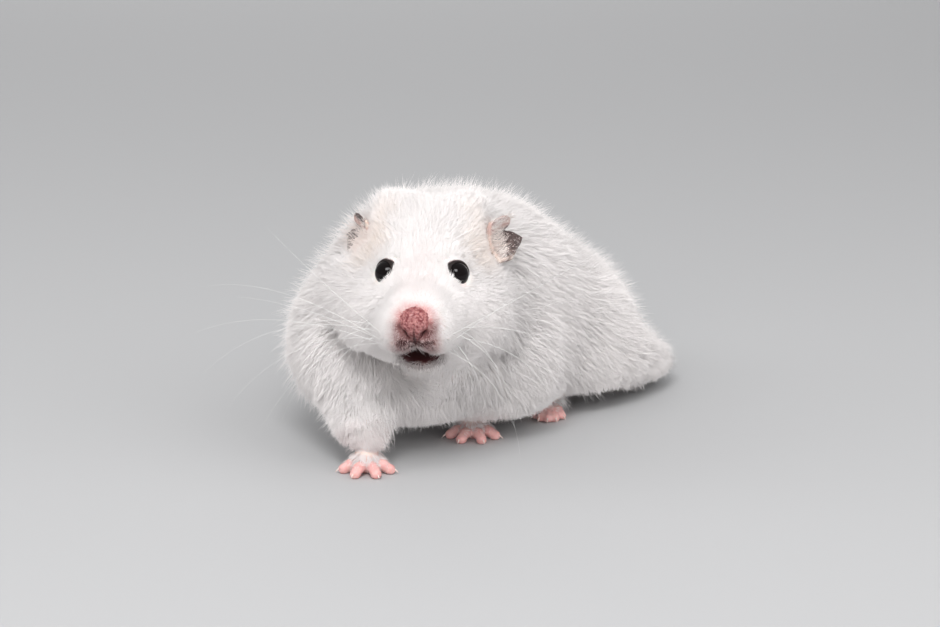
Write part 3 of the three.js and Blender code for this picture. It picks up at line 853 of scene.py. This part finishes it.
def refined(vertices, faces, centre, radius, cuts):
    """The same surface as triangles, with its faces near a place cut finer and smoothed."""
    mesh = bpy.data.meshes.new("refined")
    mesh.from_pydata(vertices.tolist(), [], faces.tolist())
    shape = bmesh.new()
    shape.from_mesh(mesh)
    near = [edge for edge in shape.edges
            if all(np.linalg.norm(np.array(corner.co) - centre) < radius for corner in edge.verts)]
    bmesh.ops.subdivide_edges(shape, edges=near, cuts=cuts, use_grid_fill=True)
    bmesh.ops.triangulate(shape, faces=shape.faces)
    shape.to_mesh(mesh)
    shape.free()
    found = np.array([corner.co for corner in mesh.vertices])
    triangles = np.array([face.vertices for face in mesh.polygons], np.int32)
    bpy.data.meshes.remove(mesh)
    share = 0.5 * ramp(distance(found, centre), radius * 1.05, radius * 0.8)[:, None]
    return smoothed(found, triangles, 8, share), triangles


mouth_middle = from_head(0, -13.5, -16)
core_vertices, core_faces = refined(core_vertices, core_faces, mouth_middle, 9.5, 2)
across, back, height = in_head(core_vertices).T
cleft = (np.exp(-(across / 0.45) ** 2) * ramp(height, -15.6, -14.2) * ramp(height, -10.2, -11.6)
         * ramp(back, -8, -11))
core_vertices = core_vertices + np.outer(0.85 * cleft, BACK)
core_normals = vertex_normals(core_vertices, core_faces)
core_tree = BVHTree.FromPolygons(core_vertices.tolist(), core_faces.tolist())
MOUTH_REACH, MOUTH_WIDTH = 11, 6  # how far from its middle the mouth goes, and between its walls


def in_mouth(points, normals):
    """Which points of the skin face another part of it close by, around the mouth."""
    found = np.zeros(len(points))
    for i in np.flatnonzero(distance(points, mouth_middle) < MOUTH_REACH):
        start = Vector(points[i] + 0.3 * normals[i])
        if core_tree.ray_cast(start, Vector(normals[i]), MOUTH_WIDTH)[0] is not None:
            found[i] = 1
    return found


# The skin is one mesh of these parts: (kind, vertices, faces, number of the material, marks).
SKIN_MATERIALS = [skin, nose_skin, lid_skin, ear_skin, paw_skin]
ears, ear_parts = {}, {}  # each ear's line from its root to its tip, and its part of the skin
for side in SIDES:
    vertices, faces, marks, ears[side] = ear_shell(side)
    ear_parts[side] = ("ear", vertices, faces, 3, marks)
mouth = smoothed(in_mouth(core_vertices, core_normals), core_faces, 3)[:, 0]
core_marks = marks_at(core_vertices)
# Inside the mouth and in the groove of the upper lip the skin is darkened: painted shade in these hollows.
core_marks[:, 2] = np.maximum(core_marks[:, 2], np.clip(2.2 * mouth + 0.8 * cleft, 0, 1.5))
parts = [("core", core_vertices, core_faces, 0, core_marks)]
vertices, faces, marks = nose_shell()
parts.append(("nose", vertices, faces, 1, marks))
for side in SIDES:
    vertices, rim, collar, marks = lid_shell(side)
    rim, collar = triangles_of(rim), triangles_of(collar)
    materials = np.repeat([2, 0], [len(rim), len(collar)])
    parts += [("lid", vertices, np.concatenate([rim, collar]), materials, marks), ear_parts[side]]
for paw in PAWS:
    vertices, faces, marks = paw_shell(paw)
    parts.append(("paw", vertices, faces, 4, marks))
vertices, faces = tail_shell()
parts.append(("tail", vertices, faces, 4, np.zeros((len(vertices), 3))))

kinds, vertices, faces, materials, marks = zip(*parts)
faces = [triangles_of(group) if group.shape[1] == 4 else group for group in faces]
starts = np.cumsum([0] + [len(group) for group in vertices])
skin_vertices, skin_marks = np.concatenate(vertices), np.concatenate(marks)
skin_faces = np.concatenate([facing_out(v, [f])[0] + start for v, f, start in zip(vertices, faces, starts)])
skin_materials = np.concatenate([np.broadcast_to(m, len(f)) for m, f in zip(materials, faces)])
skin_kinds = np.repeat(kinds, [len(group) for group in faces])
skin_normals = vertex_normals(skin_vertices, skin_faces)
keep(mesh_object("skin", skin_vertices, [skin_faces], SKIN_MATERIALS, skin_materials, {"marks": skin_marks}),
     "coat", *[name for name in FLESH if name not in EYES], *PAWS)

# ---- Eyes, claws and whiskers ----

for side in SIDES:
    outward, forward, up = eye_axes(side)
    vertices, faces = ball(20)
    bulge = 1 + 0.035 * ramp(vertices @ outward, 0.55, 1)
    keep(mesh_object(f"eye_{side}_globe", eyes[side] + eye_radius * 0.985 * vertices * bulge[:, None], [faces],
                     [eye_gloss]), "eye", f"eye_{side}")

CLAW_RINGS, CLAW_SIDES = 7, 10


def tubes(name, material, made, rings, sides):
    """One object of closed tubes, each given as its rings of points."""
    faces = [[group + number * rings * sides for group in facing_out(points, tube_faces(rings, sides))]
             for number, points in enumerate(made)]
    return mesh_object(name, np.concatenate(made), [np.concatenate(group) for group in zip(*faces)], [material])


def claw(root, tip):
    """A curved claw that tapers to its tip, as rings of points."""
    way, length = unit(tip - root), np.linalg.norm(tip - root)
    across = unit(np.cross(way, UP))
    above = np.cross(across, way)
    t = np.linspace(0, 1, CLAW_RINGS)[:, None]
    path = root - 0.35 * way + way * (length + 0.3) * t + above * 0.45 * np.sin(math.pi * t) * (1 - 0.4 * t)
    made = tube(path, 0.32 * (1 - t) ** 0.75 + 0.03, [across] * CLAW_RINGS, [above] * CLAW_RINGS, CLAW_SIDES, 0.75)
    made[:, 2] = np.maximum(made[:, 2], 0.02)
    return made


for paw in PAWS:
    claws = claws_of(paw)
    made = [claw(root, tip) for _, root, tip in claws]
    keep(tubes(paw.replace("_paw", "_claws"), claw_horn, made, CLAW_RINGS, CLAW_SIDES),
         "claw", *[name for name, _, _ in claws])

# Whiskers: for each, how far its tip is out and up from its root, and how far its middle bows up.
WHISKERS = {
    "right": [(27, 23, 3), (41, 11, 20), (45, 1, 20), (41, -12, 24), (36, -18, 24), (30, -23, 27), (23, -24, 24),
              (17, -20, 18), (34, 8, 10), (25, -6, 14)],
    "left": [(35, 20, 3), (19, 13, 3), (17, -27, 15), (13, -23, 14), (8, -25, 12), (6, -17, 9), (10, -19, 12),
             (22, -22, 18), (4, -9, 7), (26, -8, 12)],
}
WHISKER_RINGS, WHISKER_SIDES = 20, 5
WHISKER_THICKNESS = 0.075


def whisker(root, out, rise, bow, bend):
    """A thin hair that leaves the pad sideways and bends down, as rings of points."""
    t = np.linspace(0, 1, WHISKER_RINGS)[:, None]
    path = root + out * ((1 + bend) * t - bend * t * t) + UP * (rise * t + bow * t * (1 - t)) + BACK * 6 * t * t
    forward = unit(np.gradient(path, axis=0))
    path = path - forward[:1] * 0.8 * (1 - t)
    across = unit(np.cross(forward, BACK))
    above = np.cross(across, forward)
    return tube(path, WHISKER_THICKNESS / 2 * (1 - 0.86 * t ** 1.3), across, above, WHISKER_SIDES)


for side, sign in SIDES.items():
    made = []
    for number, (out, rise, bow) in enumerate(WHISKERS[side]):
        row, column = number % 3, number // 3
        pad = from_head(sign * (5.2 + 1.1 * column), -14.6 + 1.6 * column + 0.3 * row, -10.6 - 1.3 * row)
        root = np.array(core_tree.find_nearest(Vector(pad))[0])
        bend = 0.9 if side == "left" and rise < -14 else 0.15  # the left side's long ones hang
        made.append(whisker(root, sign * out * LEFT, rise, bow, bend))
    keep(tubes(f"whiskers_{side}", whisker_white, made, WHISKER_RINGS, WHISKER_SIDES), "coat")


def unwrapped(vertices, triangles):
    """Where each corner of each triangle lies on an unwrap of the shape."""
    made = mesh_object("unwrap", vertices, [triangles], [])
    made.data.uv_layers.new(name="OFBake")
    bpy.context.view_layer.objects.active = made
    made.select_set(True)
    bpy.ops.object.mode_set(mode="EDIT")
    bpy.ops.mesh.select_all(action="SELECT")
    bpy.ops.uv.smart_project(angle_limit=math.radians(66), island_margin=0.002)
    bpy.ops.object.mode_set(mode="OBJECT")
    places = np.empty(len(made.data.loops) * 2, np.float32)
    made.data.uv_layers["OFBake"].data.foreach_get("uv", places)
    bpy.data.objects.remove(made)
    return places.reshape(-1, 3, 2)


# ---- Lie, length and thickness of the coat ----


def on_side(points, side):
    return (points - head_origin) @ LEFT * SIDES[side] > 0


def body_share(back, up):
    """0 on the head and 1 on the body, from places in the head's frame."""
    return np.maximum(ramp(back - 0.2 * up, 12, 26), ramp(up, -14, -24) * ramp(back, -14, -6))


def lie_of_coat(points, normals):
    """The way that hair points along the skin."""
    across, back, up = np.hsplit(in_head(points), 3)
    face = unit(points - nose_tip) - UP * (0.25 + 0.6 * ramp(np.abs(across), 5, 10)) * ramp(up, 0, -12)
    for eye in eyes.values():
        away = points - eye
        gap = np.linalg.norm(away, axis=1, keepdims=True)
        face += unit(away) * 1.3 * np.exp(-((gap / 5.5) ** 2))
    flank = np.abs(normals[:, :1])
    front = ramp(-normals[:, 1:2], 0.1, 0.8)
    body = unit(tail_middle - head_origin) * (1 - 0.8 * front) - UP * (0.2 + 0.75 * flank + 0.6 * front)
    legs = ramp(points[:, 2:], 20, 9) * (normals[:, 2:] > -0.6)
    body = blend(body, -UP + 0.2 * BACK, 0.8 * legs)
    way = blend(unit(face), unit(body), body_share(back, up))
    swirl = 0.28 * waves(points, 14, 3) + 0.2 * waves(points, 5, 4)
    return flattened(way + np.cross(normals, way) * swirl[:, None], normals)


# Tufts in three places: how many on a square millimetre, width, lift from the skin in degrees, and the longest.
HEAD_TUFTS, FACE_TUFTS, BODY_TUFTS = (18, 0.2, 27, 9), (34, 0.13, 19, 2.1), (11.5, 0.24, 30, 18)
LOW_DENSITY, LOW_WIDTH, BELLY_DENSITY = 17, 0.2, 3  # near the floor, and under the body


def coat_at(points, normals, kinds):
    """What the tufts are like at each root."""
    across, back, up = in_head(points).T
    aside, high, facing_up = np.abs(across), points[:, 2], normals[:, 2]
    from_nose = distance(points, nose_middle)
    from_eye = eye_gap(points)
    body = body_share(back, up)
    face = 1 - ramp(from_nose, 5, 24)
    low = ramp(high, 14, 6)
    under = ramp(-facing_up, 0.3, 0.8) * body * ramp(back, 2, 14)
    shares = (face, face, face, 1 - ramp(from_nose, 4, 20))
    density, width, lift, longest = (
        blend(blend(on_head, on_face, share), on_body, body)
        for on_head, on_face, on_body, share in zip(HEAD_TUFTS, FACE_TUFTS, BODY_TUFTS, shares))
    density = blend(density, LOW_DENSITY, low)
    density = blend(density, BELLY_DENSITY, under) * blend(0.4, 1, ramp(from_nose, 3.6, 5.8))
    width = blend(width, LOW_WIDTH, low)
    longest = longest * blend(0.42, 1, ramp(from_eye, 3.6, 8.5))
    muzzle = ramp(from_nose, 9, 6.5) * ramp(up, -10, -12)
    density, longest = density * (1 - 0.72 * muzzle), blend(longest, 1.0, muzzle)
    chin = chin_at(aside, back, up)
    jowl = ramp(up, -5, -11) * ramp(aside, 6, 10) * (1 - body)
    longest, lift = blend(longest, 12, jowl), blend(lift, 36, jowl)
    longest = blend(longest, 1.4, chin)
    density = density * (1 - 0.6 * chin * ramp(up, -22, -20))
    width = blend(0.08, width, ramp(from_eye, 3.4, 5.5))
    neck = ramp(back, 2, 12) * ramp(back, 34, 24) * ramp(up, 2, -8)
    longest = np.maximum(longest, 14 * neck * ramp(facing_up, -0.5, -0.1))
    jaw = ramp(aside, 9, 6) * ramp(up, -17, -19) * ramp(up, -30, -26) * ramp(back, 13, 8)
    throat = np.maximum(ramp(facing_up, -0.2, -0.6) * ramp(back, 16, 8), jaw)
    longest = blend(longest, 2.5, throat)
    from_ear = np.min([near_line(points, *line)[0] for line in ears.values()], axis=0)
    before_ear = ramp(from_ear, 10, 5) * ramp(back, 22, 16)
    longest, lift = blend(longest, 2.8, before_ear), blend(lift, 18, before_ear)

    # Ears have hair at their roots and on the left one's upper lobe, and the paws only at the ankle.
    out_along = np.min([distance(points, start) / np.linalg.norm(end - start)
                        for start, end in ears.values()], axis=0)
    on_left = on_side(points, "left")
    above_ear = np.where(on_left, high - ears["left"][1][2], 0)
    base = np.maximum(ramp(out_along + 0.1 * waves(points, 2.2, 9), 0.46, 0.1), 0.9 * ramp(above_ear, 1, 2.4))
    base = base * np.where(on_left, 1, 0.4)
    ankle = ramp(high, 3, 4.8)
    ear, paw, lid = (kinds == kind for kind in ("ear", "paw", "lid"))

    def by_kind(of_ear, of_paw, of_lid, other):
        return np.select([ear, paw, lid], [of_ear, of_paw, of_lid], other)

    crown = (1 - face) * (1 - body) * ramp(facing_up, 0.1, 0.6) + ramp(facing_up, 0.3, 0.8) * body * 0.5
    rear = ramp(points[:, 1], 36, 54)
    flanks = ramp(np.abs(normals[:, 0]), 0.3, 0.8) * (1 - face)
    return {
        "density": by_kind(1.2 + 13 * base, 5 * ramp(high, 2.2, 3) + 20 * ankle, 130, density),
        "width": by_kind(0.09, 0.11 + 0.06 * ankle, 0.07, width),
        "lift": np.radians(by_kind(10 + 14 * base, 14 + 12 * ankle, 12, lift)),
        "longest": by_kind(1.1 + 2.3 * base, 1.4 + 4 * ankle, 1.1, longest),
        "least": by_kind(1, 0.7, 0.9, 0.7),
        "clump": np.where(ear | paw, 0, 0.05 + 0.25 * body),
        "stray": 0.03 + 0.06 * crown + 0.12 * rear + 0.04 * flanks,
        "wild": 0.4 + 0.6 * crown + 0.2 * flanks,
        "trail": 1.1 + 0.5 * rear,
        "body": body,
    }


skin_places = unwrapped(skin_vertices, skin_faces)
corner_points = skin_vertices[skin_faces]
triangle_middles = corner_points.mean(axis=1)
triangle_normals = unit(skin_normals[skin_faces].mean(axis=1))
triangle_areas = np.linalg.norm(np.cross(corner_points[:, 1] - corner_points[:, 0],
                                         corner_points[:, 2] - corner_points[:, 0]), axis=1) / 2
BARE_NOSE = 3.7  # how far from the middle of the nose's pad the hair starts


def bare(points, normals):
    """True where no hair grows: the nose's pad, the eyes, and inside the mouth."""
    none = distance(points, nose_middle) < BARE_NOSE
    for side, eye in eyes.items():
        gap, inward = distance(points, eye), unit(points - eye) @ eye_axes(side)[0] < -0.2
        none |= (gap < eye_radius + 0.2) | (skin_kinds == "lid") & (gap < 6) & inward
    none |= np.isin(skin_kinds, ("nose", "tail")) | (skin_materials == SKIN_MATERIALS.index(lid_skin))
    return none | (in_mouth(points, normals) > 0)


REGIONS = ["face", "crown", "cheeks", "nape", "chest", "right", "left", "left_rear", "back", "rump", "rump_side",
           "belly", "legs", "ears", "lids"]
LEFT_REAR, RUMP, NAPE = 8, 30, -22  # where these start, along the body
NAPE_BOTTOM, LEG_TOP = 26, 9  # heights


def region_of(points, normals):
    """The coat piece that each triangle's hair belongs to, as a number in REGIONS. The last rule that fits counts."""
    head = coat_at(points, normals, skin_kinds)["body"] < 0.5
    _, y, z = points.T
    facing_left = normals[:, 0]
    rules = {
        "left": facing_left > 0.45,
        "left_rear": (facing_left > 0.45) & (y > LEFT_REAR),
        "right": facing_left < -0.45,
        "rump": y > RUMP,
        "rump_side": (y > RUMP) & (facing_left > 0.35),
        "belly": normals[:, 2] < -0.35,
        "nape": y < NAPE,
        "chest": (y < NAPE) & (z < NAPE_BOTTOM),
        "legs": z < LEG_TOP,
        "crown": head,
        "cheeks": head & (in_head(points)[:, 2] < 4),
        "face": head & (distance(points, nose_middle) < 19),
        "ears": skin_kinds == "ear",
        "lids": skin_kinds == "lid",
    }
    region = np.full(len(points), REGIONS.index("back"))
    for name, fits in rules.items():
        region[fits] = REGIONS.index(name)
    return region


triangle_bare = bare(triangle_middles, triangle_normals)
triangle_region = region_of(triangle_middles, triangle_normals)
expected = triangle_areas * coat_at(triangle_middles, triangle_normals, skin_kinds)["density"] * ~triangle_bare


def roots_in(region):
    """Evenly spread roots on the triangles of a region, with their normals and places on the unwrap."""
    share = np.cumsum(np.where(triangle_region == region, expected, 0))
    count = int(share[-1])
    chosen = np.searchsorted(share, (np.arange(count) + rng.uniform(0, 1, count)) * share[-1] / count)
    a, b = rng.uniform(0, 1, (2, count))
    fold = a + b > 1
    a[fold], b[fold] = 1 - a[fold], 1 - b[fold]
    weights = np.stack([1 - a - b, a, b], axis=1)[:, :, None]
    corner = skin_faces[chosen]
    return ((skin_vertices[corner] * weights).sum(axis=1), unit((skin_normals[corner] * weights).sum(axis=1)),
            (skin_places[chosen] * weights).sum(axis=1), skin_kinds[chosen])


HAIR_MARKS = (1, 0.65, 0.5)  # how much of the skin's markings and painted shade hair shows
SINK = 0.4  # how deep a tuft starts in the skin
PATCH = 0.0028  # side of a tuft's patch on the unwrap
FAR = 40.0  # as far as the CAD's outline is looked for
TO_A_LOCK, LOCK_WIDTH = 22, 4  # how many tufts lean towards one, and from how far
ROUNDNESS = 0.22  # how much of a tuft's shading is its own roundness


def room_along(roots, ways):
    """How far it is from each root to the outline of the CAD."""
    room = np.full(len(roots), FAR)
    for i, (root, way) in enumerate(zip(roots + 0.2 * ways, ways)):
        hit = outer_tree.ray_cast(Vector(root), Vector(way), FAR)
        if hit[0] is not None:
            room[i] = hit[3]
    return room


STATIONS = (0, 0.36, 1)  # along a tuft: its root, where it is thickest and bends, and its tip
TUFT_FACES = np.array([[2, 1, 0], [3, 2, 0], [1, 3, 0], [1, 2, 4], [2, 3, 4], [3, 1, 4]])


def tufts(roots, normals, places, kinds):
    """Closed spindles: a root, three corners and a tip each.

    Returns their vertices, triangles, places on the unwrap, normals for shading and values for the material.
    """
    count = len(roots)
    for side, eye in eyes.items():
        here = (kinds == "lid") & on_side(roots, side)
        normals[here] = unit(1.2 * unit(roots[here] - eye) + eye_axes(side)[0])
    coat = coat_at(roots, normals, kinds)
    way = lie_of_coat(roots, normals)
    for side, (start, end) in ears.items():
        here = (kinds == "ear") & on_side(roots, side)
        way[here] = flattened(np.broadcast_to(end - start, way[here].shape), normals[here])
    way = flattened(way + 0.16 * rng.normal(size=(count, 3)), normals)
    stray = rng.uniform(0, 1, count) < coat["stray"]
    lift = coat["lift"] * rng.uniform(0.75, 1.25, count) + stray * coat["wild"] * rng.uniform(0.3, 1.2, count)
    rise, run = np.sin(lift)[:, None], np.cos(lift)[:, None]
    room = room_along(roots, run * way + rise * normals)
    length = np.minimum(room * coat["trail"], coat["longest"]) * rng.uniform(0.8, 1.12, count)
    length = np.where(stray, np.minimum(1.9 * room, 1.3 * coat["longest"]), length)
    length = np.maximum(length, coat["least"])[:, None]
    droop = rise * 0.35 * rng.uniform(0.6, 1.4, (count, 1))
    across = np.cross(normals, way)
    curl = 0.1 * rng.normal(size=(count, 1))

    tips = roots + length * way
    leaders = rng.choice(count, max(count // TO_A_LOCK, 1), replace=False)
    tree = search_tree(roots[leaders])
    follows = np.array([tree.find(Vector(root))[1] for root in roots])
    gather = (tips[leaders[follows]] - tips) * (coat["clump"] * rng.uniform(0.3, 1.5, count))[:, None]
    gather = np.where(np.linalg.norm(gather, axis=1, keepdims=True) < LOCK_WIDTH, gather, 0)

    width = (coat["width"] * rng.uniform(0.6, 1.25, count) * np.where(stray, 0.55, 1))[:, None]
    centres = [roots - SINK * normals + length * run * t * way + across * length * curl * t * t
               + (length * (rise * t - droop * t * t) + SINK * min(1, 3 * t)) * normals + gather * t ** 1.5
               for t in STATIONS]
    forward = unit(centres[2] - centres[0])
    aside = unit(np.cross(normals, forward))
    above = np.cross(forward, aside)
    ring = [centres[1] + width / 2 * (aside * math.cos(turn) + 0.7 * above * math.sin(turn))
            for turn in np.radians([90, 210, 330])]
    vertices = np.stack([centres[0], *ring, centres[2]], axis=1)
    vertices[..., 2] = np.maximum(vertices[..., 2], 0.05)
    faces = TUFT_FACES[None] + 5 * np.arange(count)[:, None, None]

    along = np.array([0, *[STATIONS[1]] * 3, 1])
    patch = places[:, None] + np.stack([[0, 0, -0.5, 0.5, 0], along - 0.5], axis=1)[None] * PATCH
    outward = unit(vertices - vertices.mean(axis=1, keepdims=True)) * np.array([0, 1, 1, 1, 0])[:, None]
    lit = unit(normals + np.maximum(-normals[:, 2:], 0) * 0.6 * UP)  # hair that hangs is lit as what it hangs by
    soft = unit((1 - ROUNDNESS) * lit[:, None] + ROUNDNESS * outward)
    strand = np.stack([np.tile(along, count), np.repeat(rng.uniform(0, 1, count), 5)], axis=1)
    return vertices.reshape(-1, 3), faces.reshape(-1, 3), patch.reshape(-1, 2), soft.reshape(-1, 3), strand


for number, region in enumerate(REGIONS):
    roots, normals, places, kinds = roots_in(number)
    vertices, faces, patch, soft, strand = tufts(roots, normals, places, kinds)
    marks = np.repeat(marks_at(roots) * HAIR_MARKS, len(vertices) // len(roots), axis=0)
    piece = mesh_object(f"coat_{region}", vertices, [faces], [coat], None, {"marks": marks, "strand": strand}, soft)
    layer = piece.data.uv_layers.new(name="OFBake")
    layer.data.foreach_set("uv", patch[faces.ravel()].astype(np.float32).ravel())
    keep(piece, "coat")

# ---- Floor and light ----

FLOOR_REACH = 20000  # millimetres
ground_material = Nodes("floor", Roughness=0.8, Base_Color=(0.47, 0.47, 0.475, 1))
corner_signs = np.array([[-1, -1, 0], [1, -1, 0], [1, 1, 0], [-1, 1, 0]])
ground = mesh_object("floor", FLOOR_REACH * corner_signs, [[[0, 1, 2, 3]]], [ground_material.material])


def lamp(name, kind, azimuth, elevation, away, energy, **settings):
    """A soft light on the head, so many millimetres off. Only the key light shows in the eyes."""
    way = bearing(azimuth, elevation)
    light = bpy.data.lights.new(name, kind)
    light.energy = energy
    for setting, value in settings.items():
        setattr(light, setting, value)
    made = in_scene(name, light)
    made.visible_glossy = name == "key"
    made.location = Vector((head_origin + way * away) * MM)
    made.rotation_euler = Vector(-way).to_track_quat("-Z", "Y").to_euler()


lamp("key", "AREA", 16, 52, 700, 2.6, size=0.26)
lamp("front", "AREA", 14, 16, 1100, 5.0, size=0.9)
lamp("fill", "AREA", -70, 30, 900, 2.0, size=0.6)
lamp("side", "AREA", 85, 38, 900, 3.2, size=0.8)
lamp("rear", "AREA", 205, 16, 1100, 2.2, size=0.9)
lamp("sky", "SUN", 20, 78, 1000, 0.5, angle=math.radians(80))
world = bpy.data.worlds.new("studio")
scene.world = world
world.use_nodes = True
background = world.node_tree.nodes["Background"]
background.inputs["Color"].default_value = (0.98, 0.985, 1.0, 1)
background.inputs["Strength"].default_value = 0.36
scene.view_settings.view_transform = "Standard"
scene.cycles.max_bounces = 16
scene.cycles.diffuse_bounces = 12  # white hair passes light on many times
